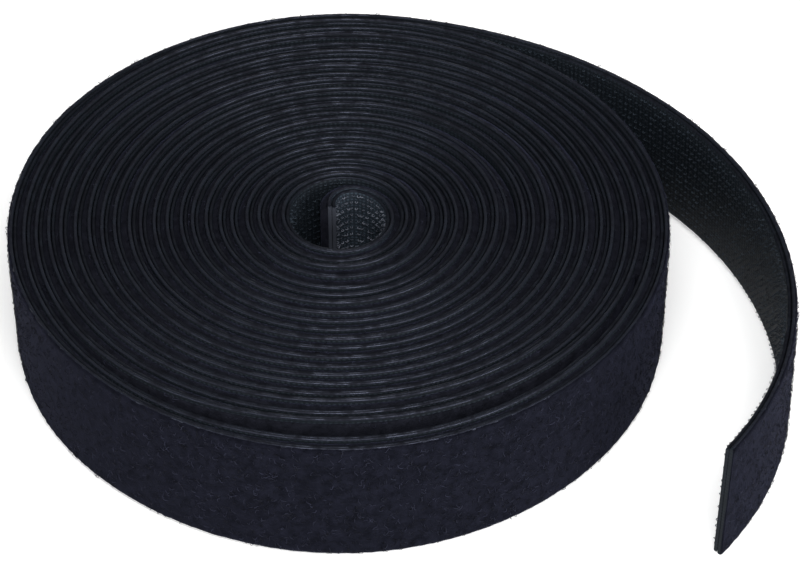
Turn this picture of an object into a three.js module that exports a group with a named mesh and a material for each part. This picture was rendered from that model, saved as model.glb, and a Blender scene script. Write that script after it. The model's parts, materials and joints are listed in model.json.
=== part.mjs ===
// A roll of back-to-back hook and loop tape, lying on its side.
// Two woven layers are glued back to back and wound on themselves without a core, with the
// loop face outside and the hook face inside. The inner end curls up in the eye of the roll,
// and the outer end stands off the roll and can bend.
// Millimetres, +Z up. The winding grows clockwise seen from above.
import * as THREE from 'three';

// Tape
const tapeWidth = 25;
const loopLayerThickness = 0.8;
const hookLayerThickness = 0.72;
const glueLine = 0.3;

// Winding
const eyeRadius = 7.4;
const turnGap = 0.5;
const woundTurns = 21 + 23 / 24;
const stepsPerTurn = 24;
const stepRounding = 1e-6;
const leaveAzimuth = THREE.MathUtils.degToRad(76); // where the free end leaves the roll

// Inner end, which curls tighter than the turns around it
const curlRadius = 3.9; // of the middle of the tape
const curlAngle = THREE.MathUtils.degToRad(131);
const curlSteps = 10;

// Free end
const tailLength = 152;
const tailRootBendRadius = 95;
const tailTipBendRadius = 62;
const tailStretches = 10;
const stepsPerStretch = 3;
const bendGap = 0.8; // room between two stretches, so that they can turn

// Finishes
const loopColour = '#1d1f25';
const hookColour = '#16181d';
const loopRoughness = 0.95;
const hookRoughness = 0.7;

const tapeThickness = loopLayerThickness + glueLine + hookLayerThickness;
const turnPitch = tapeThickness + turnGap;
const hookFace = -tapeThickness / 2; // depths are counted outwards from the middle of the tape
const loopFace = tapeThickness / 2;

const layers = [
  {
    name: 'loop_layer',
    inner: loopFace - loopLayerThickness,
    outer: loopFace,
    finish: { color: loopColour, roughness: loopRoughness, metalness: 0 },
  },
  {
    name: 'hook_layer',
    inner: hookFace,
    outer: hookFace + hookLayerThickness,
    finish: { color: hookColour, roughness: hookRoughness, metalness: 0 },
  },
];

// A station is a point on the middle of the tape, in plan, with the direction that faces outwards.
function station(x, y, outwardX, outwardY) {
  return { point: new THREE.Vector3(x, y, 0), outward: new THREE.Vector3(outwardX, outwardY, 0) };
}

function depthPoint({ point, outward }, depth) {
  return point.clone().addScaledVector(outward, depth);
}

// The curl is an arc that runs into the first turn along one radial line.
function curlStations(azimuth, firstRadius) {
  const stations = [];
  for (let step = curlSteps; step > 0; step -= 1) {
    const turned = azimuth + (curlAngle * step) / curlSteps;
    const x = Math.cos(turned);
    const y = Math.sin(turned);
    const centre = firstRadius - curlRadius;
    stations.push(station(
      centre * Math.cos(azimuth) + curlRadius * x,
      centre * Math.sin(azimuth) + curlRadius * y,
      x,
      y,
    ));
  }
  return stations;
}

// Each turn has its corners on the same radial lines, so that neighbouring turns stay parallel.
function windingStations() {
  const stepAngle = (2 * Math.PI) / stepsPerTurn;
  const woundAngle = woundTurns * 2 * Math.PI;
  const firstRadius = eyeRadius + tapeThickness / 2;
  const fullSteps = Math.ceil(woundAngle / stepAngle - stepRounding);
  const stations = curlStations(leaveAzimuth + woundAngle, firstRadius);
  for (let step = fullSteps; step >= 0; step -= 1) {
    const angleLeft = Math.min(step * stepAngle, woundAngle);
    const radius = firstRadius + (turnPitch * (woundAngle - angleLeft)) / (2 * Math.PI);
    const azimuth = leaveAzimuth + angleLeft;
    const x = Math.cos(azimuth);
    const y = Math.sin(azimuth);
    stations.push(station(radius * x, radius * y, x, y));
  }
  return stations;
}

// A point on an arc that starts at the origin along +X and bends towards -Y.
function arcStation(bendRadius, length) {
  const turned = length / bendRadius;
  const x = Math.sin(turned);
  const y = Math.cos(turned);
  return station(bendRadius * x, bendRadius * (y - 1), x, y);
}

function stretchStations(bendRadius, start, end) {
  const stations = [];
  for (let step = 0; step <= stepsPerStretch; step += 1) {
    stations.push(arcStation(bendRadius, THREE.MathUtils.lerp(start, end, step / stepsPerStretch)));
  }
  return stations;
}

// A closed band of rectangular section through the stations, standing on its lower edge.
function bandGeometry(stations, inner, outer) {
  const section = [[inner, 0], [outer, 0], [outer, tapeWidth], [inner, tapeWidth]];
  const sides = section.length;
  const positions = [];
  const triangles = [];
  stations.forEach((here, row) => {
    section.forEach(([depth, height], side) => {
      const corner = depthPoint(here, depth);
      positions.push(corner.x, corner.y, height);
      if (row === 0) return;
      const a = row * sides + side;
      const b = row * sides + ((side + 1) % sides);
      triangles.push(a - sides, b - sides, b, a - sides, b, a);
    });
  });
  const last = (stations.length - 1) * sides;
  triangles.push(0, 2, 1, 0, 3, 2);
  triangles.push(last, last + 1, last + 2, last, last + 2, last + 3);
  const geometry = new THREE.BufferGeometry();
  geometry.setAttribute('position', new THREE.Float32BufferAttribute(positions, 3));
  geometry.setIndex(triangles);
  geometry.computeVertexNormals();
  return geometry;
}

function tapeMeshes(name, stations) {
  return layers.map((layer) => {
    const geometry = bandGeometry(stations, layer.inner, layer.outer);
    const mesh = new THREE.Mesh(geometry, new THREE.MeshStandardMaterial(layer.finish));
    mesh.name = `${name}_${layer.name}`;
    return mesh;
  });
}

// The least distance in plan from one face's points to the other face, half a turn or more away.
function leastTurnGap(stations) {
  const faces = [hookFace, loopFace].map((depth) => stations.map((here) => depthPoint(here, depth)));
  const nearest = new THREE.Vector3();
  const edge = new THREE.Line3();
  let least = Infinity;
  for (const [points, line] of [faces, [...faces].reverse()]) {
    for (let from = 0; from < points.length; from += 1) {
      for (let to = 1; to < line.length; to += 1) {
        if (Math.abs(to - from) < stepsPerTurn / 2) continue;
        edge.set(line[to - 1], line[to]).closestPointToPoint(points[from], true, nearest);
        least = Math.min(least, nearest.distanceTo(points[from]));
      }
    }
  }
  return least;
}

// The free end is a chain of groups, each turning about an upright line in the gap before its stretch.
function buildTail(woundEnd) {
  const stretchLength = tailLength / tailStretches;
  const alongTape = new THREE.Vector3(woundEnd.outward.y, -woundEnd.outward.x, 0);
  const root = new THREE.Group();
  root.position.copy(woundEnd.point).addScaledVector(alongTape, bendGap / 2);
  root.rotation.z = Math.atan2(alongTape.y, alongTape.x);
  let hinge = root;
  for (let stretch = 0; stretch < tailStretches; stretch += 1) {
    const isTip = stretch === tailStretches - 1;
    const share = (stretch + 0.5) / tailStretches;
    const curvature = THREE.MathUtils.lerp(1 / tailRootBendRadius, 1 / tailTipBendRadius, share);
    const bendRadius = 1 / curvature;
    const end = isTip ? stretchLength : stretchLength - bendGap / 2;
    const name = `tail_${String(stretch + 1).padStart(2, '0')}`;
    hinge.name = `${name}_hinge`;
    hinge.add(...tapeMeshes(name, stretchStations(bendRadius, bendGap / 2, end)));
    if (isTip) break;
    const next = new THREE.Group();
    next.position.copy(arcStation(bendRadius, stretchLength).point);
    next.rotation.z = -stretchLength / bendRadius;
    hinge.add(next);
    hinge = next;
  }
  return root;
}

const winding = windingStations();
console.log(`least gap between turns: ${leastTurnGap(winding).toFixed(3)} mm`);

const tapeRoll = new THREE.Group();
tapeRoll.name = 'tape_roll';
tapeRoll.add(...tapeMeshes('wound', winding));
tapeRoll.add(buildTail(winding[winding.length - 1]));

// The origin goes to the middle of the outline, on the surface that the roll lies on.
tapeRoll.updateMatrixWorld(true);
const outline = new THREE.Box3().setFromObject(tapeRoll, true);
const middle = outline.getCenter(new THREE.Vector3());
tapeRoll.position.set(-middle.x, -middle.y, -outline.min.z);

export default tapeRoll;
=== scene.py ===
import json
import math
import bpy
import numpy as np
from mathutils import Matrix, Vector


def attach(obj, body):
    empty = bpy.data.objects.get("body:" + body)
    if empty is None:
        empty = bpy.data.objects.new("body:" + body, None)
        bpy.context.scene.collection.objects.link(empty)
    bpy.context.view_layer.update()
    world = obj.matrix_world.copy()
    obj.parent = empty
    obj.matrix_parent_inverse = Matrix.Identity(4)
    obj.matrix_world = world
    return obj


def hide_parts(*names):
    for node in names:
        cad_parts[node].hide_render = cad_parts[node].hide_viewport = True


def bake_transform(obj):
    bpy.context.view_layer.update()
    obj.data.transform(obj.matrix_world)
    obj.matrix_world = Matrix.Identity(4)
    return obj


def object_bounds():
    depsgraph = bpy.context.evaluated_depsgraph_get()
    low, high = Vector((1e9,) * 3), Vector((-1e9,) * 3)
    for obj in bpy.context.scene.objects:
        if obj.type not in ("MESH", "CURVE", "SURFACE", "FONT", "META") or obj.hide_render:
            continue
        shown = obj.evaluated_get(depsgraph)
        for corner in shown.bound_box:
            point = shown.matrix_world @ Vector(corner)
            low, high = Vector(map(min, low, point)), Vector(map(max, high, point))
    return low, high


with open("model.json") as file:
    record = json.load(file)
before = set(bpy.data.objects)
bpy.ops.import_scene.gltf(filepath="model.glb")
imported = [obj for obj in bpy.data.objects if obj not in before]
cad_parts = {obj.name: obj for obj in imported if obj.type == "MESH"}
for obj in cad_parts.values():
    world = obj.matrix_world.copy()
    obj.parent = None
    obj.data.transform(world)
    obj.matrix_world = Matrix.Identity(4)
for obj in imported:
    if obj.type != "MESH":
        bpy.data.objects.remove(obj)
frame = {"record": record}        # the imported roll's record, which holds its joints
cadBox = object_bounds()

scene = bpy.context.scene
mm = 0.001

# the whole tape: two woven nylon grounds glued back to back, loops outside, hooks inside
tape = {
    "width": cadBox[1].z - cadBox[0].z,
    "thickness": 1.82 * mm,      # pile, both grounds and hooks, as the solids have it
    "ground": 0.66 * mm,         # one woven ground without pile or hooks
    "groove": 0.1 * mm,          # glue line that shows between the two grounds
    "edgeRound": 0.2 * mm,
    "relief": 0.06 * mm,         # unevenness of a ground
    "grain": 1.1 * mm,
    "selvedge": 0.4 * mm,        # bare woven margin along both edges
    "hookInset": 0.3 * mm,       # the hook ground is a little narrower at both edges
    "cutLength": 0.4 * mm,       # fused by the hot knife at the inner end
    "lineStep": 0.4 * mm,        # between two points of the laid line
    "woundStep": 1.6 * mm,       # between two sections of a ground
    "freeStep": 0.95 * mm,
}

winding = {
    "eyeRadius": 7.4 * mm,
    "pitch": 2.32 * mm,
    "turns": 21 + 23 / 24,
    "turnSteps": 360,
    "leaveAzimuth": math.radians(76),
    "curlRadius": 3.9 * mm,      # the inner end curls up in the eye
    "curlAngle": math.radians(131),
    "curlSteps": 60,
    "eyeHooks": 66 * mm,         # length of hook face that shows inside the eye
    "paintedEyeLight": 26 * mm,             # length of the inner end painted paler, as painted light in the shaded eye
    "wander": 0.36 * mm,         # how far a turn strays from an even spiral
    "wanderStep": 47 * mm,
    "lift": 0.8 * mm,            # how unevenly the edges lie on top
    "liftStep": 45 * mm,
    "easeIn": 60 * mm,           # length over which it starts to stray
    "easeOut": 90 * mm,          # this far from the end it strays less and less
    "evenEnd": 15 * mm,          # and from here on not at all
    "looseIn": (4.0, 19.5),      # over these turns it lies ever closer in front, so that a gap opens
    "looseOut": (19.6, 20.2),
    "looseGap": 1.3 * mm,
    "pushIn": (19.8, 20.2),      # and the turn outside the gap lies farther out
    "pushOut": (20.6, 21.0),
    "loosePush": 0.45 * mm,
    "gapTurns": (19.22, 19.62),  # where that gap is open
    "looseAzimuth": math.radians(270),
    "looseSpread": math.radians(50),
    "outerMiddle": 0.4,          # turns before the end, where the outermost turn's radius is taken
    "outerLead": 8 * mm,         # the free pile starts this much before that turn
    "seed": 7,
}

tail = {
    "length": 152 * mm,
    "rootBend": 95 * mm,
    "tipBend": 62 * mm,
    "hingeLead": 0.4 * mm,       # from the end of the winding to the first hinge
    "stretches": 10,
    "steps": 900,
    "bendOver": 1.9 * mm,        # how far a bend reaches into the stretches next to it
    "rise": 0.8 * mm,            # how far its middle stands off the table
    "lean": 0.9 * mm,            # and how far its foot stands out there
    "slant": 1.0 * mm,           # the cut end is longer at its foot
    "leanStep": 1 * mm,
}


def drift(along, step, seed):        # a smooth random line between -1 and 1
    knots = np.random.default_rng(seed).uniform(-1, 1, int(along.max() / step) + 3)
    index = (along / step).astype(int)
    share = along / step - index
    share = share * share * (3 - 2 * share)
    return knots[index] * (1 - share) + knots[index + 1] * share


def smoothStep(value, low, high):
    share = np.clip((value - low) / (high - low), 0, 1)
    return share * share * (3 - 2 * share)


# laying the tape

firstRadius = winding["eyeRadius"] + tape["thickness"] / 2


def layTurns():                      # the wound turns, about the roll's axis
    woundAngle = winding["turns"] * 2 * math.pi
    turned = np.linspace(0, woundAngle, int(winding["turns"] * winding["turnSteps"]))
    turn = turned / (2 * math.pi)
    radius = firstRadius + winding["pitch"] * turned / (2 * math.pi)
    azimuth = winding["leaveAzimuth"] + woundAngle - turned
    along = np.concatenate([[0], np.cumsum(radius[1:] * np.diff(turned))])
    ease = smoothStep(along, 0, winding["easeIn"])
    ease = ease * (1 - smoothStep(along, along[-1] - winding["easeOut"], along[-1] - winding["evenEnd"]))
    radius = radius + ease * winding["wander"] * drift(along, winding["wanderStep"], winding["seed"])
    fromLoose = np.angle(np.exp(1j * (azimuth - winding["looseAzimuth"]))) / winding["looseSpread"]
    loose = smoothStep(turn, *winding["looseIn"]) * (1 - smoothStep(turn, *winding["looseOut"]))
    pushed = smoothStep(turn, *winding["pushIn"]) * (1 - smoothStep(turn, *winding["pushOut"]))
    shift = winding["loosePush"] * pushed - winding["looseGap"] * loose
    radius = radius + np.exp(-fromLoose ** 2) * shift
    lift = ease * winding["lift"] * (0.5 + 0.5 * drift(along, winding["liftStep"], winding["seed"] + 1))
    return {"turn": turn, "azimuth": azimuth, "lift": lift,
            "x": radius * np.cos(azimuth), "y": radius * np.sin(azimuth)}


def layCurl(azimuth):                # the inner end, which runs into the first turn at this azimuth
    turned = azimuth + winding["curlAngle"] * np.linspace(1, 0, winding["curlSteps"])[:-1]
    centre = firstRadius - winding["curlRadius"]
    return {"x": centre * math.cos(azimuth) + winding["curlRadius"] * np.cos(turned),
            "y": centre * math.sin(azimuth) + winding["curlRadius"] * np.sin(turned)}


def layFreeEnd():                    # counted from the end of the winding, bending ever more
    free = np.linspace(0, tail["hingeLead"] + tail["length"], tail["steps"])[1:]
    bend = 1 / tail["rootBend"] + (1 / tail["tipBend"] - 1 / tail["rootBend"]) * free / free[-1]
    heading = winding["leaveAzimuth"] - math.pi / 2 - np.cumsum(bend * free[0])
    return {"x": np.cumsum(np.cos(heading) * free[0]), "y": np.cumsum(np.sin(heading) * free[0]),
            "rise": tail["rise"] * np.sin(math.pi * free / free[-1])}


def findAxis():                      # of the roll, from the first hinge
    leave = winding["leaveAzimuth"]
    lastRadius = firstRadius + winding["pitch"] * winding["turns"]
    hinge = frame["record"]["behaviour"]["joints"][0]["pos_m"]
    return np.array([hinge[0] - lastRadius * math.cos(leave) - tail["hingeLead"] * math.sin(leave),
                     hinge[1] - lastRadius * math.sin(leave) + tail["hingeLead"] * math.cos(leave)])


def layTape():                       # the middle line of the tape, from its inner end to its free end
    axis = findAxis()
    turns = layTurns()
    curl = layCurl(turns["azimuth"][0])
    free = layFreeEnd()
    x, y = (np.concatenate([curl[key], turns[key], turns[key][-1] + free[key]]) + middle
            for key, middle in zip("xy", axis))
    z = np.concatenate([np.zeros(len(curl["x"])), turns["lift"], free["rise"]])
    length = np.concatenate([[0], np.cumsum(np.hypot(np.diff(x), np.diff(y)))])
    wound = length[len(curl["x"]):len(curl["x"]) + len(turns["x"])]
    even = np.linspace(0, length[-1], int(length[-1] / tape["lineStep"]))
    found = {"along": even, "axis": axis, "woundLength": wound[-1]}
    found.update({key: np.interp(even, length, value) for key, value in (("x", x), ("y", y), ("z", z))})
    found["heading"] = np.unwrap(np.arctan2(np.gradient(found["y"]), np.gradient(found["x"])))
    found["gapStart"], found["gapEnd"] = np.interp(winding["gapTurns"], turns["turn"], wound)
    return found


line = layTape()
print(f"tape laid: {line['woundLength']:.3f} m wound, {line['along'][-1] - line['woundLength']:.3f} m free")


def stations(start, end, step):      # evenly spaced places on the tape
    along = np.linspace(start, end, max(2, int(round((end - start) / step)) + 1))
    found = {key: np.interp(along, line["along"], line[key]) for key in ("x", "y", "z", "heading")}
    found["along"] = along
    return found


def placed(found, depth, height):    # points at a depth out from the middle and a height on the tape
    x = found["x"] - depth * np.sin(found["heading"])
    y = found["y"] + depth * np.cos(found["heading"])
    return np.column_stack([x, y, found["z"] + height])


# nodes and colours

def addNode(tree, kind, inputs=None, **settings):
    node = tree.nodes.new(kind)
    for name, value in settings.items():
        setattr(node, name, value)
    for socket, value in (inputs or {}).items():
        if isinstance(value, bpy.types.NodeSocket):
            tree.links.new(value, node.inputs[socket])
        else:
            node.inputs[socket].default_value = value
    return node


def hexColour(code):                 # sRGB hex to linear
    parts = [int(code[i:i + 2], 16) / 255 for i in (1, 3, 5)]
    return (*[c / 12.92 if c <= 0.04045 else ((c + 0.055) / 1.055) ** 2.4 for c in parts], 1)


# materials

def newFinish(name, **sockets):
    finish = bpy.data.materials.new(name)
    finish.use_nodes = True
    tree = finish.node_tree
    shader = tree.nodes["Principled BSDF"]
    for socket, value in sockets.items():
        shader.inputs[socket.replace("_", " ")].default_value = value
    return finish, tree, shader


pileFinish = {
    "dark": "#090a10",
    "light": "#15161f",
    "slanting": "#c0c8ff",
    "clump": 1.7 * mm,
    "contrast": (0.34, 0.66),    # values of the clumps' noise that are all dark and all light
    "grain": 0.4 * mm,
    "relief": 0.25 * mm,
}
paintedValleyFinish = {**pileFinish, "dark": "#0d0e13", "light": "#191a21"}    # painted light and shade: the pile between the turns gets a tone of its own, set to how the valleys look


def loopPile(name, look):            # brushed nylon loops seen as one mat: matt, mottled, paler at a slant
    finish, tree, shader = newFinish(name, Roughness=0.95, Specular_IOR_Level=0.03, Sheen_Weight=0.05,
                                     Sheen_Roughness=0.4, Sheen_Tint=hexColour(look["slanting"]))
    place = addNode(tree, "ShaderNodeTexCoord")
    clump = addNode(tree, "ShaderNodeTexNoise", {
        "Vector": place.outputs["Object"], "Scale": 1 / look["clump"], "Detail": 4.0, "Roughness": 0.65})
    grain = addNode(tree, "ShaderNodeTexNoise", {
        "Vector": place.outputs["Object"], "Scale": 1 / look["grain"], "Detail": 3.0, "Roughness": 0.6})
    low, high = look["contrast"]
    tone = addNode(tree, "ShaderNodeMapRange", {
        "Value": clump.outputs["Fac"], "From Min": low, "From Max": high})
    colour = addNode(tree, "ShaderNodeMix", {
        "Factor": tone.outputs["Result"], "A": hexColour(look["dark"]), "B": hexColour(look["light"])},
        data_type="RGBA")
    bump = addNode(tree, "ShaderNodeBump", {
        "Height": grain.outputs["Fac"], "Distance": look["relief"], "Strength": 0.8})
    tree.links.new(colour.outputs["Result"], shader.inputs["Base Color"])
    tree.links.new(bump.outputs["Normal"], shader.inputs["Normal"])
    return finish


filamentFinish = {"dark": "#0a0b10", "light": "#303242", "rareLight": 2.5}


def brushedFilament():               # single crimped filaments of the pile: a few painted paler, as painted glints where they catch the light
    finish, tree, shader = newFinish("brushedFilament", Roughness=0.6, Specular_IOR_Level=0.1)
    shade = addNode(tree, "ShaderNodeAttribute", attribute_name="shade")
    tone = addNode(tree, "ShaderNodeMath", {0: shade.outputs["Fac"], 1: filamentFinish["rareLight"]},
                   operation="POWER")
    colour = addNode(tree, "ShaderNodeMix", {
        "Factor": tone.outputs["Value"], "A": hexColour(filamentFinish["dark"]),
        "B": hexColour(filamentFinish["light"])}, data_type="RGBA")
    tree.links.new(colour.outputs["Result"], shader.inputs["Base Color"])
    return finish


groundFinish = {
    "dark": "#12161b",
    "light": "#222930",
    "pick": 0.9 * mm,            # from one weft thread to the next, coarser than real so that it shows
    "rib": 0.7 * mm,
    "relief": 0.08 * mm,
    "paintedEyeLightGain": 2.4,            # how much paler the inner end is painted: painted light in the shaded eye
    "paintedEyeLightFade": 8 * mm,
}
waveStep = math.pi / 10              # from band to band of a wave texture at scale 1


def wovenNylonGround():              # plain woven nylon, with warp ribs along the tape: dull, finely checked
    finish, tree, shader = newFinish("wovenNylonGround", Roughness=0.6, Specular_IOR_Level=0.1)
    along = addNode(tree, "ShaderNodeAttribute", attribute_name="along")
    place = addNode(tree, "ShaderNodeTexCoord")
    split = addNode(tree, "ShaderNodeSeparateXYZ", {"Vector": place.outputs["Object"]})
    cloth = addNode(tree, "ShaderNodeCombineXYZ", {"X": along.outputs["Fac"], "Y": split.outputs["Z"]})
    picks = addNode(tree, "ShaderNodeTexWave", {
        "Vector": cloth.outputs["Vector"], "Scale": waveStep / groundFinish["pick"], "Distortion": 1.0,
        "Detail": 1.0}, bands_direction="X")
    ribs = addNode(tree, "ShaderNodeTexWave", {
        "Vector": cloth.outputs["Vector"], "Scale": waveStep / groundFinish["rib"], "Distortion": 0.6,
        "Detail": 1.0}, bands_direction="Y")
    weave = addNode(tree, "ShaderNodeMath", {0: picks.outputs["Fac"], 1: ribs.outputs["Fac"]},
                    operation="MULTIPLY")
    colour = addNode(tree, "ShaderNodeMix", {
        "Factor": weave.outputs["Value"], "A": hexColour(groundFinish["dark"]),
        "B": hexColour(groundFinish["light"])}, data_type="RGBA")
    bump = addNode(tree, "ShaderNodeBump", {
        "Height": weave.outputs["Value"], "Distance": groundFinish["relief"]})
    # over the inner end the ground is painted paler: painted light in the shaded eye
    paintedEyeLightRamp = addNode(tree, "ShaderNodeMapRange", {
        "Value": along.outputs["Fac"], "From Min": winding["paintedEyeLight"], "To Min": groundFinish["paintedEyeLightGain"],
        "From Max": winding["paintedEyeLight"] + groundFinish["paintedEyeLightFade"], "To Max": 1.0})
    paintedEyeLight = addNode(tree, "ShaderNodeHueSaturation", {
        "Color": colour.outputs["Result"], "Value": paintedEyeLightRamp.outputs["Result"]})
    tree.links.new(paintedEyeLight.outputs["Color"], shader.inputs["Base Color"])
    tree.links.new(bump.outputs["Normal"], shader.inputs["Normal"])
    return finish


yarnFinish = {
    "dark": "#06070a",
    "light": "#1a1d24",
    "shine": "#d8deff",
    "gloss": 0.36,
    "rough": 0.8,                # in rubbed patches
    "smooth": 0.2,
    "patch": 2.4 * mm,
    "contrast": (0.4, 0.6),      # values of the patches' noise that are all rubbed and all smooth
    "strand": 0.3 * mm,
    "relief": 0.02 * mm,
}
dullFinish = {**yarnFinish, "dark": "#050608", "light": "#15181e", "gloss": 0.23}


def filamentYarn(name, look):        # filament nylon binding the edges: smooth, so it shines along its length
    finish, tree, shader = newFinish(name, Specular_IOR_Level=look["gloss"],
                                     Specular_Tint=hexColour(look["shine"]))
    place = addNode(tree, "ShaderNodeTexCoord")
    patch = addNode(tree, "ShaderNodeTexNoise", {
        "Vector": place.outputs["Object"], "Scale": 1 / look["patch"], "Detail": 4.0, "Roughness": 0.6})
    strand = addNode(tree, "ShaderNodeTexNoise", {
        "Vector": place.outputs["Object"], "Scale": 1 / look["strand"], "Detail": 2.0})
    low, high = look["contrast"]
    tone = addNode(tree, "ShaderNodeMapRange", {
        "Value": patch.outputs["Fac"], "From Min": low, "From Max": high})
    colour = addNode(tree, "ShaderNodeMix", {
        "Factor": tone.outputs["Result"], "A": hexColour(look["dark"]), "B": hexColour(look["light"])},
        data_type="RGBA")
    rubbed = addNode(tree, "ShaderNodeMapRange", {
        "Value": patch.outputs["Fac"], "From Min": low, "From Max": high, "To Min": look["rough"],
        "To Max": look["smooth"]})
    bump = addNode(tree, "ShaderNodeBump", {"Height": strand.outputs["Fac"], "Distance": look["relief"]})
    tree.links.new(colour.outputs["Result"], shader.inputs["Base Color"])
    tree.links.new(rubbed.outputs["Result"], shader.inputs["Roughness"])
    tree.links.new(bump.outputs["Normal"], shader.inputs["Normal"])
    return finish


hookFinish = {"dark": "#181d23", "light": "#2e363f", "gloss": 0.14}
paintedEyeLightHookFinish = {"dark": "#30343e", "light": "#666a75", "gloss": 0.25}    # hooks painted paler at the inner end: painted light in the shaded eye


def hookMonofilament(name, look):    # stiff extruded nylon monofilament, heat set into hooks, glossy
    finish, tree, shader = newFinish(name, Roughness=0.38, Specular_IOR_Level=look["gloss"])
    shade = addNode(tree, "ShaderNodeAttribute", attribute_name="shade")
    colour = addNode(tree, "ShaderNodeMix", {
        "Factor": shade.outputs["Fac"], "A": hexColour(look["dark"]), "B": hexColour(look["light"])},
        data_type="RGBA")
    tree.links.new(colour.outputs["Result"], shader.inputs["Base Color"])
    return finish


# the cut end's colour is painted paler than the ground: painted light
paintedLightCutFinish = {"colour": "#34373f"}


def heatCutNylon():                  # the inner end, cut with a hot knife: fused and smooth, and painted paler as painted light on the cut end in the eye
    return newFinish("heatCutNylon", Base_Color=hexColour(paintedLightCutFinish["colour"]), Roughness=0.45,
                     Specular_IOR_Level=0.2)[0]


finishes = {
    "pile": loopPile("brushedLoopPile", pileFinish),
    # the pile between the turns, with painted light and shade of the valleys
    "paintedValley": loopPile("paintedValleyLoopPile", paintedValleyFinish),
    "filament": brushedFilament(),
    "ground": wovenNylonGround(),
    "loopYarn": filamentYarn("brightNylonYarn", yarnFinish),
    "hookYarn": filamentYarn("dullNylonYarn", dullFinish),
    "hook": hookMonofilament("hookMonofilament", hookFinish),
    # hooks painted paler for the inner end: painted light in the shaded eye
    "rubbed": hookMonofilament("paintedEyeLightMonofilament", paintedEyeLightHookFinish),
    "cut": heatCutNylon(),
}
print("finishes made:", ", ".join(sorted(finishes)))


# node trees

def newTree(name, sockets):          # a geometry tree with named inputs
    tree = bpy.data.node_groups.new(name, "GeometryNodeTree")
    tree.interface.new_socket("Geometry", in_out="INPUT", socket_type="NodeSocketGeometry")
    tree.interface.new_socket("Geometry", in_out="OUTPUT", socket_type="NodeSocketGeometry")
    for label, kind in sockets.items():
        tree.interface.new_socket(label, in_out="INPUT", socket_type="NodeSocket" + kind)
    return tree, tree.nodes.new("NodeGroupInput").outputs


def closeTree(tree, geometry, finish):
    real = addNode(tree, "GeometryNodeRealizeInstances", {"Geometry": geometry})
    smooth = addNode(tree, "GeometryNodeSetShadeSmooth", {"Geometry": real.outputs["Geometry"]})
    coated = addNode(tree, "GeometryNodeSetMaterial", {
        "Geometry": smooth.outputs["Geometry"], "Material": finish})
    addNode(tree, "NodeGroupOutput", {"Geometry": coated.outputs["Geometry"]})
    return tree


def sweepTree():                     # a closed section swept along the tape, with a little relief
    tree, given = newTree("sweepAlongTape", {
        "Section": "Object", "Relief": "Float", "Grain": "Float", "Finish": "Material"})
    path = addNode(tree, "GeometryNodeMeshToCurve", {"Mesh": given["Geometry"]})
    upright = addNode(tree, "GeometryNodeSetCurveNormal", {"Curve": path.outputs["Curve"]}, mode="Z_UP")
    section = addNode(tree, "GeometryNodeObjectInfo", {"Object": given["Section"]})
    band = addNode(tree, "GeometryNodeCurveToMesh", {
        "Curve": upright.outputs["Curve"], "Profile Curve": section.outputs["Geometry"], "Fill Caps": True})
    place = addNode(tree, "GeometryNodeInputPosition")
    cells = addNode(tree, "ShaderNodeMath", {0: 1.0, 1: given["Grain"]}, operation="DIVIDE")
    noise = addNode(tree, "ShaderNodeTexNoise", {
        "Vector": place.outputs["Position"], "Scale": cells.outputs["Value"], "Detail": 2.0})
    height = addNode(tree, "ShaderNodeMath", {0: noise.outputs["Fac"], 1: 0.5}, operation="SUBTRACT")
    stand = addNode(tree, "ShaderNodeMath", {0: height.outputs["Value"], 1: given["Relief"]},
                    operation="MULTIPLY")
    normal = addNode(tree, "GeometryNodeInputNormal")
    push = addNode(tree, "ShaderNodeVectorMath", {
        0: normal.outputs["Normal"], "Scale": stand.outputs["Value"]}, operation="SCALE")
    moved = addNode(tree, "GeometryNodeSetPosition", {
        "Geometry": band.outputs["Mesh"], "Offset": push.outputs["Vector"]})
    return closeTree(tree, moved.outputs["Geometry"], given["Finish"])


# a random node's sockets: 0 and 1 bound a vector, 2 and 3 a number, 4 and 5 an index, which wraps
def shadedInstances(tree, points, given):    # shapes set on points, turned to the tape's heading
    heading = addNode(tree, "GeometryNodeInputNamedAttribute", {"Name": "heading"}, data_type="FLOAT")
    lean = addNode(tree, "FunctionNodeRandomValue", {
        0: (-1.0, -1.0, -1.0), 1: (1.0, 1.0, 1.0), "Seed": given["Seed"]}, data_type="FLOAT_VECTOR")
    turn = addNode(tree, "ShaderNodeVectorMath", {0: lean.outputs[0], 1: given["Lean"]}, operation="MULTIPLY")
    along = addNode(tree, "ShaderNodeCombineXYZ", {"Z": heading.outputs["Attribute"]})
    pose = addNode(tree, "ShaderNodeVectorMath", {0: turn.outputs["Vector"], 1: along.outputs["Vector"]})
    size = addNode(tree, "FunctionNodeRandomValue", {
        2: given["Least size"], 3: 1.0, "Seed": given["Seed"]}, data_type="FLOAT")
    pick = addNode(tree, "FunctionNodeRandomValue", {4: 0, 5: 99, "Seed": given["Seed"]}, data_type="INT")
    shapes = addNode(tree, "GeometryNodeCollectionInfo", {
        "Collection": given["Shapes"], "Separate Children": True, "Reset Children": True})
    copies = addNode(tree, "GeometryNodeInstanceOnPoints", {
        "Points": points, "Instance": shapes.outputs["Instances"], "Pick Instance": True,
        "Instance Index": pick.outputs[2], "Rotation": pose.outputs["Vector"], "Scale": size.outputs[1]})
    tone = addNode(tree, "FunctionNodeRandomValue", {
        2: 0.0, 3: 1.0, "Seed": given["Seed"]}, data_type="FLOAT")
    shaded = addNode(tree, "GeometryNodeStoreNamedAttribute", {
        "Geometry": copies.outputs["Instances"], "Name": "shade", "Value": tone.outputs[1]},
        data_type="FLOAT", domain="INSTANCE")
    return shaded.outputs["Geometry"]


setSockets = {
    "Shapes": "Collection",
    "Least size": "Float",
    "Lean": "Vector",
    "Seed": "Int",
    "Finish": "Material",
}


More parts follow.
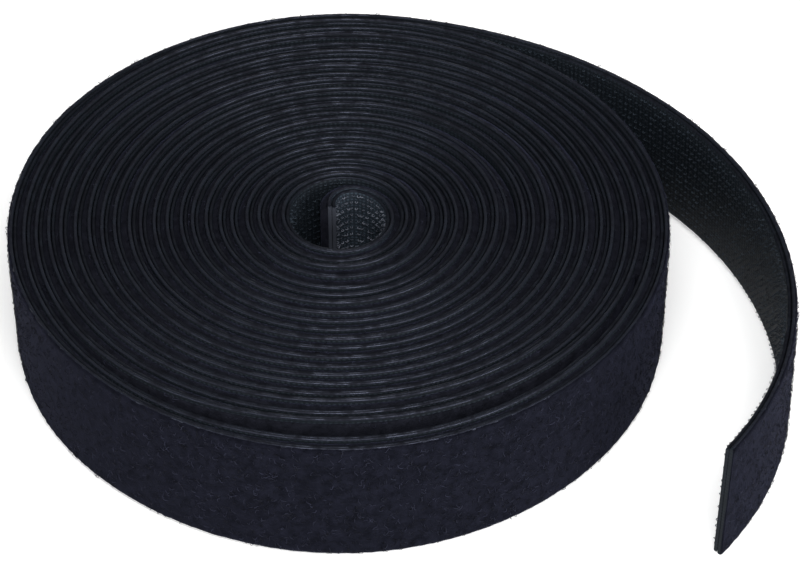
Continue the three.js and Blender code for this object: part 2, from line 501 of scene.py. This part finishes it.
def scatterTree():                   # pile loops strewn over a face
    tree, given = newTree("pileOnFace", {"Density": "Float", **setSockets})
    points = addNode(tree, "GeometryNodeDistributePointsOnFaces", {
        "Mesh": given["Geometry"], "Density": given["Density"], "Seed": given["Seed"]})
    copies = shadedInstances(tree, points.outputs["Points"], given)
    return closeTree(tree, copies, given["Finish"])


def rowTree():                       # hooks set at given points
    tree, given = newTree("setInRows", setSockets)
    copies = shadedInstances(tree, given["Geometry"], given)
    return closeTree(tree, copies, given["Finish"])


trees = {"sweep": sweepTree(), "scatter": scatterTree(), "rows": rowTree()}
print("node trees built:", ", ".join(tree.name for tree in trees.values()))


# making pieces from trees

def newObject(name, data):
    made = bpy.data.objects.new(name, data)
    scene.collection.objects.link(made)
    return made


def grow(name, mesh, tree, values):  # a plain mesh from a tree on a base mesh
    base = newObject(name + "Base", mesh)
    modifier = base.modifiers.new("grow", "NODES")
    modifier.node_group = trees[tree]
    ids = {item.name: item.identifier for item in trees[tree].interface.items_tree if item.in_out == "INPUT"}
    for label, value in values.items():
        modifier[ids[label]] = value
    result = bpy.data.meshes.new_from_object(base.evaluated_get(bpy.context.evaluated_depsgraph_get()))
    bpy.data.objects.remove(base)
    result.name = name
    return newObject(name, result)


def joined(name, parts):             # several pieces made one
    with bpy.context.temp_override(active_object=parts[0], selected_editable_objects=parts):
        bpy.ops.object.join()
    parts[0].name = name
    parts[0].data.name = name
    return parts[0]


def mark(mesh, name, values):        # a number kept at each point of a mesh
    mesh.attributes.new(name, "FLOAT", "POINT").data.foreach_set("value", values.astype(np.float32))


def pathMesh(found, depth=0.0, height=0.0):
    mesh = bpy.data.meshes.new("path")
    points = placed(found, depth, height)
    mesh.from_pydata(points.tolist(), [(i, i + 1) for i in range(len(points) - 1)], [])
    mark(mesh, "along", found["along"])
    return mesh


def pointMesh(points, heading):
    mesh = bpy.data.meshes.new("points")
    mesh.from_pydata(points.tolist(), [], [])
    mark(mesh, "heading", heading)
    return mesh


def stripMesh(found, depth, low, high):   # an upright strip of the tape's face
    count = len(found["along"])
    points = np.concatenate([placed(found, depth, low), placed(found, depth, high)])
    faces = [(i, i + count, i + count + 1, i + 1) for i in range(count - 1)]
    mesh = bpy.data.meshes.new("strip")
    mesh.from_pydata(points.tolist(), [], faces)
    mark(mesh, "heading", np.concatenate([found["heading"]] * 2))
    return mesh


def sectionCurve(name, corners):     # depth outwards and height upwards, counted anticlockwise
    curve = bpy.data.curves.new(name, "CURVE")
    curve.dimensions = "3D"
    spline = curve.splines.new("POLY")
    spline.points.add(len(corners) - 1)
    for point, (depth, height) in zip(spline.points, corners):
        point.co = (-depth, -height, 0, 1)
    spline.use_cyclic_u = True
    return newObject(name, curve)


def roundedSection(name, inner, outer, low, high, corner, steps=3):
    middles = [(outer - corner, low + corner, -90), (outer - corner, high - corner, 0),
               (inner + corner, high - corner, 90), (inner + corner, low + corner, 180)]
    corners = []
    for depth, height, start in middles:
        for i in range(steps):
            turn = math.radians(start + 90 * i / (steps - 1))
            corners.append((depth + corner * math.cos(turn), height + corner * math.sin(turn)))
    return sectionCurve(name, corners)


def strand(name, points, radius, sides):   # a short closed thread through points, nowhere upright
    points = np.array(points, float)
    upright = np.array((0.0, 0.0, 1.0))
    tangent = np.gradient(points, axis=0)
    tangent /= np.linalg.norm(tangent, axis=1)[:, None]
    across = upright - tangent * (tangent @ upright)[:, None]
    across /= np.linalg.norm(across, axis=1)[:, None]
    over = np.cross(tangent, across)
    rings = []
    for k in range(sides):
        turn = 2 * math.pi * k / sides
        rings.append(points + across * radius * math.cos(turn) + over * radius * math.sin(turn))
    verts = np.stack(rings, axis=1).reshape(-1, 3)
    faces = []
    for i in range(len(points) - 1):
        for k in range(sides):
            a, b = i * sides + k, i * sides + (k + 1) % sides
            faces.append((a, b, b + sides, a + sides))
    faces.append(tuple(range(sides))[::-1])
    faces.append(tuple(range(len(verts) - sides, len(verts))))
    mesh = bpy.data.meshes.new(name)
    mesh.from_pydata(verts.tolist(), [], faces)
    return bpy.data.objects.new(name, mesh)


def shapeSet(name, shapes):
    group = bpy.data.collections.new(name)
    for shape in shapes:
        group.objects.link(shape)
    return group


# small shapes: x along the tape, y outwards, z up

loopShape = {
    "reach": 0.42 * mm,
    "height": 0.34 * mm,
    "sway": 0.3 * mm,
    "uneven": (0.6, 1.4),        # least and greatest share of these sizes
    "lean": 0.5 * mm,
    "rooted": 0.08 * mm,         # how deep its feet sit
    "filament": 0.05 * mm,       # thicker than real, so that it shows
    "sides": 3,
    "steps": 7,
    "kinds": 5,
    "seed": 11,
    "leastSize": 0.7,
    "turn": (0.7, math.pi, 0.5),
}


def pileLoops():
    random = np.random.default_rng(loopShape["seed"])
    share = np.linspace(0, 1, loopShape["steps"])
    bow = np.sin(math.pi * share)
    kinds = []
    for kind in range(loopShape["kinds"]):
        reach, height, sway = (
            loopShape[key] * random.uniform(*loopShape["uneven"]) for key in ("reach", "height", "sway"))
        lean = loopShape["lean"] * random.uniform(-1, 1)
        points = np.column_stack([
            lean * bow - reach * np.cos(math.pi * share), height * bow - loopShape["rooted"],
            sway * np.sin(2 * math.pi * share)])
        kinds.append(strand(f"loop{kind}", points, loopShape["filament"], loopShape["sides"]))
    return shapeSet("pileLoops", kinds)


hookShape = {
    "height": 0.5 * mm,
    "crook": 0.22 * mm,
    "crookTurns": (45, 90, 135, 180, 215),   # degrees round the crook
    "stemShare": 0.4,            # of the height, to the middle of the stem
    "rooted": 0.1 * mm,          # how deep the stem sits
    "wire": 0.09 * mm,
    "sides": 4,
    "row": 1.5 * mm,             # rows and steps coarser than real, so that the hooks show
    "step": 1.25 * mm,
    "leastSize": 0.85,
    "turn": (0.2, 0.35, 0.12),
}


def tapeHooks():                     # a stem with a crook, opening along the tape, one kind for each way
    height, crook = hookShape["height"], hookShape["crook"]
    stem = [(0, hookShape["rooted"]), (0, -height * hookShape["stemShare"]), (0, crook - height)]
    bend = [(crook * (1 - math.cos(t)), crook - height - crook * math.sin(t))
            for t in np.radians(hookShape["crookTurns"])]
    kinds = []
    for kind, way in enumerate((-1, 1)):
        points = [(way * x, y, 0) for x, y in stem + bend]
        kinds.append(strand(f"hook{kind}", points, hookShape["wire"], hookShape["sides"]))
    return shapeSet("tapeHooks", kinds)


shapes = {"loops": pileLoops(), "hooks": tapeHooks()}


# grounds and the cords along their edges

cord = {
    "halfHeight": 0.23 * mm,
    "halfWidth": 0.33 * mm,
    "sides": 6,
    "upperStep": 0.5 * mm,
    "lowerStep": 1.2 * mm,
    "relief": 0.22 * mm,
    "crimp": 1.0 * mm,
}

layers = {                           # depth of each ground's two faces, outwards from the middle
    "loop": (tape["groove"] / 2, tape["groove"] / 2 + tape["ground"]),
    "hook": (-tape["groove"] / 2 - tape["ground"], -tape["groove"] / 2),
}
edges = {                            # heights of each ground's lower and upper cord
    "loop": (cord["halfHeight"], tape["width"] - cord["halfHeight"]),
    "hook": (cord["halfHeight"] + tape["hookInset"], tape["width"] - cord["halfHeight"] - tape["hookInset"]),
}
sections = {name: roundedSection(name + "Section", *depths, *edges[name], tape["edgeRound"])
            for name, depths in layers.items()}
sections["cord"] = sectionCurve("cordSection", [
    (cord["halfWidth"] * math.cos(t), cord["halfHeight"] * math.sin(t))
    for t in np.radians(range(0, 360, 360 // cord["sides"]))])


def groundBand(name, layer, start, end, step, finish="ground"):
    return grow(name, pathMesh(stations(start, end, step)), "sweep", {
        "Section": sections[layer], "Relief": tape["relief"], "Grain": tape["grain"],
        "Finish": finishes[finish]})


def cutBand(name, layer, end):       # a wound ground from its fused inner end on
    return joined(name, [
        groundBand(name, layer, tape["cutLength"], end, tape["woundStep"]),
        groundBand(name + ".cut", layer, 0, tape["cutLength"], tape["cutLength"], "cut")])


def edgeCords(name, layer, start, end):   # filament cords that bind both edges of one ground
    depth = sum(layers[layer]) / 2
    made = []
    for side, height in zip(("lower", "upper"), edges[layer]):
        path = pathMesh(stations(start, end, cord[side + "Step"]), depth, height)
        made.append(grow(f"{name}.{side}", path, "sweep", {
            "Section": sections["cord"], "Relief": cord["relief"], "Grain": cord["crimp"],
            "Finish": finishes[layer + "Yarn"]}))
    return joined(name, made)


# pile and hooks

pile = {
    "free": 0.25 * mm,           # depth of the brushed mat where nothing lies on it
    "packed": 1.3 * mm,          # and between two turns, where it is pressed into the hooks of the next turn
    "packedBelow": 1.1 * mm,     # how far under the edges it stays there
    "loose": 0.4 * mm,           # depth in the gap in front
    "rooted": 0.1 * mm,          # how deep the mat sits in its ground
    "slope": 0.3 * mm,           # of the mat's lower and upper edge
    "row": 0.6 * mm,
    "freeStep": 0.65 * mm,       # between two sections of the mat
    "packedStep": 1.2 * mm,
    "relief": 0.3 * mm,
    "clump": 1.3 * mm,
    "loopsFrom": 0.8,            # share of the free mat's depth where loose loops start
    "loopsStep": 2 * mm,
    "density": 1.0e6,            # loops on a square metre
    "fuzzFrom": 1.9 * mm,        # loops between the turns, counted down from the upper edge
    "fuzzTo": 0.7 * mm,
    "fuzzDensity": 0.8e6,
    "outerParts": 3,             # pieces of pile on the outermost turn
}
pileFace = layers["loop"][1] + pile["free"] * pile["loopsFrom"]


def matSection(name, depth, margin, row):   # pile mat on the loop ground, fine on its outer side
    back = layers["loop"][1] - pile["rooted"]
    front = layers["loop"][1] + depth
    bottom, top = margin, tape["width"] - margin
    rows = max(2, int((top - bottom) / row))
    corners = [(back, bottom - pile["slope"])]
    corners += [(front, bottom + (top - bottom) * i / rows) for i in range(rows + 1)]
    corners += [(back, top + pile["slope"])]
    return sectionCurve(name, corners)


sections["freeMat"] = matSection("freeMatSection", pile["free"], tape["selvedge"], pile["row"])
sections["packedMat"] = matSection("packedMatSection", pile["packed"], pile["packedBelow"], tape["width"])
sections["looseMat"] = matSection("looseMatSection", pile["loose"], pile["packedBelow"], tape["width"])


def pileMat(name, section, finish, start, end, step):
    return grow(name, pathMesh(stations(start, end, step)), "sweep", {
        "Section": sections[section], "Relief": pile["relief"], "Grain": pile["clump"],
        "Finish": finishes[finish]})


def freeMat(name, start, end):       # on the outside, where nothing presses it
    return pileMat(name, "freeMat", "pile", start, end, pile["freeStep"])


def pressedMat(name, section, start, end):   # between two turns, in the painted light and shade of the valleys
    return pileMat(name, section, "paintedValley", start, end, pile["packedStep"])


def looseLoops(name, start, end, seed, bottom=tape["selvedge"], top=tape["width"] - tape["selvedge"],
               density=pile["density"]):
    strip = stripMesh(stations(start, end, pile["loopsStep"]), pileFace, bottom, top)
    return grow(name, strip, "scatter", {
        "Density": density, "Shapes": shapes["loops"], "Least size": loopShape["leastSize"],
        "Lean": loopShape["turn"], "Seed": seed, "Finish": finishes["filament"]})


def hookRows(name, start, end, seed, finish="hook"):
    found = stations(start + hookShape["step"] / 2, end - hookShape["step"] / 2, hookShape["step"])
    rows = int((tape["width"] - 2 * tape["selvedge"]) / hookShape["row"])
    edge = (tape["width"] - (rows - 1) * hookShape["row"]) / 2
    points = [placed(found, layers["hook"][0], edge + row * hookShape["row"]) for row in range(rows)]
    return grow(name, pointMesh(np.concatenate(points), np.tile(found["heading"], rows)), "rows", {
        "Shapes": shapes["hooks"], "Least size": hookShape["leastSize"], "Lean": hookShape["turn"],
        "Seed": seed, "Finish": finishes[finish]})


seeds = {
    "fuzz": 31,
    "rubbedHooks": 34,
    "darkHooks": 35,
    "outerPile": 41,             # this and the next two count on from piece to piece
    "tailPile": 60,
    "tailHooks": 100,
}


# the wound turns, up to the first bend of the free end

firstHinge = line["woundLength"] + tail["hingeLead"]
stretch = tail["length"] / tail["stretches"]
woundEnd = firstHinge - stretch / 2
outerRadius = winding["eyeRadius"] + winding["pitch"] * (winding["turns"] - winding["outerMiddle"])
outerStart = line["woundLength"] - 2 * math.pi * outerRadius - winding["outerLead"]

woundLoop = cutBand("woundLoopLayer", "loop", woundEnd)
woundHook = cutBand("woundHookLayer", "hook", woundEnd)
loopEdges = edgeCords("woundLoopEdges", "loop", 0, woundEnd)
hookEdges = edgeCords("woundHookEdges", "hook", 0, woundEnd)
innerMat = joined("woundPileMat", [
    pressedMat("packedPile", "packedMat", 0, line["gapStart"]),
    pressedMat("loosePile", "looseMat", line["gapStart"], line["gapEnd"]),
    pressedMat("outerPacked", "packedMat", line["gapEnd"], outerStart)])
outerMat = freeMat("outerPileMat", outerStart, woundEnd)
fuzz = looseLoops("turnFuzz", 0, outerStart, seeds["fuzz"], tape["width"] - pile["fuzzFrom"],
                  tape["width"] - pile["fuzzTo"], pile["fuzzDensity"])
eyeHooks = joined("eyeHooks", [
    # the hooks nearest the inner end are painted paler: painted light in the shaded eye
    hookRows("rubbedHooks", 0, winding["paintedEyeLight"], seeds["rubbedHooks"], "rubbed"),
    hookRows("darkHooks", winding["paintedEyeLight"], winding["eyeHooks"], seeds["darkHooks"])])
outerPile = []
outerShare = (woundEnd - outerStart) / pile["outerParts"]
for part in range(pile["outerParts"]):
    outerPile.append(looseLoops(
        f"outerPile{part + 1}", outerStart + part * outerShare, outerStart + (part + 1) * outerShare,
        seeds["outerPile"] + part))

woundPieces = [woundLoop, woundHook, loopEdges, hookEdges, innerMat, outerMat, fuzz, eyeHooks, *outerPile]
for piece in woundPieces:
    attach(piece, "roll")
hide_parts("wound_loop_layer")
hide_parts("wound_hook_layer")
print("winding made:", sum(len(piece.data.polygons) for piece in woundPieces), "faces")


# the free end, one set of pieces for each bend, meeting halfway between two hinges


def standLoose(piece, start, end):   # lean the free end a little, and cut its end a little off square
    found = stations(start, end, tail["leanStep"])
    spots = np.empty(len(piece.data.vertices) * 3)
    piece.data.vertices.foreach_get("co", spots)
    spots = spots.reshape(-1, 3)
    near = np.argmin(np.hypot(spots[:, :1] - found["x"], spots[:, 1:2] - found["y"]), axis=1)
    along, heading = found["along"][near] - firstHinge, found["heading"][near]
    foot = 1 - spots[:, 2] / tape["width"]
    out = tail["lean"] * foot * np.sin(math.pi * np.clip(along / tail["length"], 0, 1))
    on = tail["slant"] * (foot - 0.5) * smoothStep(along, tail["length"] - stretch, tail["length"])
    spots[:, 0] += on * np.cos(heading) - out * np.sin(heading)
    spots[:, 1] += on * np.sin(heading) + out * np.cos(heading)
    piece.data.vertices.foreach_set("co", spots.ravel())


for number in range(1, tail["stretches"] + 1):
    hinge = firstHinge + (number - 1) * stretch
    start = hinge - stretch / 2
    isTip = number == tail["stretches"]
    end = hinge + (stretch if isTip else stretch / 2)
    tag = f"{number:02d}"
    loopLayer = groundBand("tailLoopLayer" + tag, "loop", start, end, tape["freeStep"])
    hookLayer = groundBand("tailHookLayer" + tag, "hook", start, end, tape["freeStep"])
    loopFace = joined("tailLoopFace" + tag, [
        freeMat("tailMat" + tag, start, end),
        looseLoops("tailPile" + tag, start, end, seeds["tailPile"] + number),
        edgeCords("tailLoopEdge" + tag, "loop", start, end)])
    hookFace = joined("tailHookFace" + tag, [
        hookRows("tailHooks" + tag, start, end, seeds["tailHooks"] + number),
        edgeCords("tailHookEdge" + tag, "hook", start, end)])
    for piece in (loopLayer, hookLayer, loopFace, hookFace):
        standLoose(piece, start, end)
        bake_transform(piece)
    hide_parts(f"tail_{tag}_loop_layer")
    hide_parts(f"tail_{tag}_hook_layer")
print("free end made in", tail["stretches"], "bends")

for section in sections.values():
    bpy.data.objects.remove(section)


# stage, light and camera

stageSet = {
    "floorSize": 6.0,
    "floor": "#f4f4f4",
    "glow": 0.35,                # of the floor, to the camera only, so that the shadow stays
    "glowFrom": 0.25,            # this far from the middle it starts to turn white
    "whiteFrom": 0.7,
    "ambient": 0.15,
}


def paleFloor():                     # painted board: pale and matt, to the camera white but for the shadow
    half = stageSet["floorSize"] / 2
    corners = [(-half, -half, 0), (half, -half, 0), (half, half, 0), (-half, half, 0)]
    mesh = bpy.data.meshes.new("floor")
    mesh.from_pydata(corners, [], [(0, 1, 2, 3)])
    floor = newObject("floor", mesh)
    finish, tree, shader = newFinish("paleFloor", Base_Color=hexColour(stageSet["floor"]), Roughness=0.9,
                                     Specular_IOR_Level=0.1)
    place = addNode(tree, "ShaderNodeTexCoord")
    away = addNode(tree, "ShaderNodeVectorMath", {0: place.outputs["Object"]}, operation="LENGTH")
    white = addNode(tree, "ShaderNodeMapRange", {
        "Value": away.outputs["Value"], "From Min": stageSet["glowFrom"], "From Max": stageSet["whiteFrom"],
        "To Min": stageSet["glow"], "To Max": 1.0})
    ray = addNode(tree, "ShaderNodeLightPath")
    seen = addNode(tree, "ShaderNodeMath", {0: ray.outputs["Is Camera Ray"], 1: white.outputs["Result"]},
                   operation="MULTIPLY")
    glow = addNode(tree, "ShaderNodeEmission", {"Strength": seen.outputs["Value"]})
    both = addNode(tree, "ShaderNodeAddShader", {0: shader.outputs["BSDF"], 1: glow.outputs["Emission"]})
    tree.links.new(both.outputs["Shader"], tree.nodes["Material Output"].inputs["Surface"])
    mesh.materials.append(finish)


def skyOfStudio():                   # white to the camera, dim to the object
    world = bpy.data.worlds.new("studio")
    world.use_nodes = True
    scene.world = world
    tree = world.node_tree
    ray = addNode(tree, "ShaderNodeLightPath")
    strength = addNode(tree, "ShaderNodeMapRange", {
        "Value": ray.outputs["Is Camera Ray"], "To Min": stageSet["ambient"], "To Max": 1.0})
    tree.links.new(strength.outputs["Result"], tree.nodes["Background"].inputs["Strength"])
    tree.nodes["Background"].inputs["Color"].default_value = (1, 1, 1, 1)


lampAim = Vector((0, 0, 0))
lamps = {                            # place, size and power of each soft box
    "front": {"at": (0.02, -0.32, 0.46), "size": (0.3, 0.24), "power": 2.4},
    "top": {"at": (0.0, -0.1, 0.8), "size": (0.5, 0.5), "power": 1.2},
    "right": {"at": (0.68, -0.68, 0.25), "size": (0.6, 0.5), "power": 8.4},
    "left": {"at": (-0.75, -0.5, 0.18), "size": (0.6, 0.5), "power": 3.6},
    "back": {"at": (0.0, 1.0, 0.15), "size": (0.6, 0.3), "power": 0.3},
}


def hangLamps():
    for name, lamp in lamps.items():
        data = bpy.data.lights.new(name, "AREA")
        data.shape = "RECTANGLE"
        data.size, data.size_y = lamp["size"]
        data.energy = lamp["power"]
        made = newObject(name + "Lamp", data)
        made.visible_camera = False
        made.location = lamp["at"]
        made.rotation_euler = (lampAim - Vector(lamp["at"])).to_track_quat("-Z", "Y").to_euler()


camera = {                           # fitted to the outline in the photograph
    "lens": 135.2,
    "azimuth": math.radians(-2.06),  # towards +X from straight in front
    "elevation": math.radians(42.1),
    "distance": 541.6 * mm,
    "aim": (10.27 * mm, -4.48 * mm, 12.5 * mm),      # from the winding's axis
    "clipStart": 10 * mm,
}


def setCamera():
    data = bpy.data.cameras.new("camera")
    data.lens = camera["lens"]
    data.clip_start = camera["clipStart"]
    made = newObject("camera", data)
    level = math.cos(camera["elevation"])
    back = Vector((math.sin(camera["azimuth"]) * level, -math.cos(camera["azimuth"]) * level,
                   math.sin(camera["elevation"])))
    made.location = Vector((*line["axis"], 0)) + Vector(camera["aim"]) + back * camera["distance"]
    made.rotation_euler = back.to_track_quat("Z", "Y").to_euler()
    scene.camera = made


paleFloor()
skyOfStudio()
hangLamps()
setCamera()
scene.view_settings.view_transform = "Standard"
print("stage, lamps and camera set")
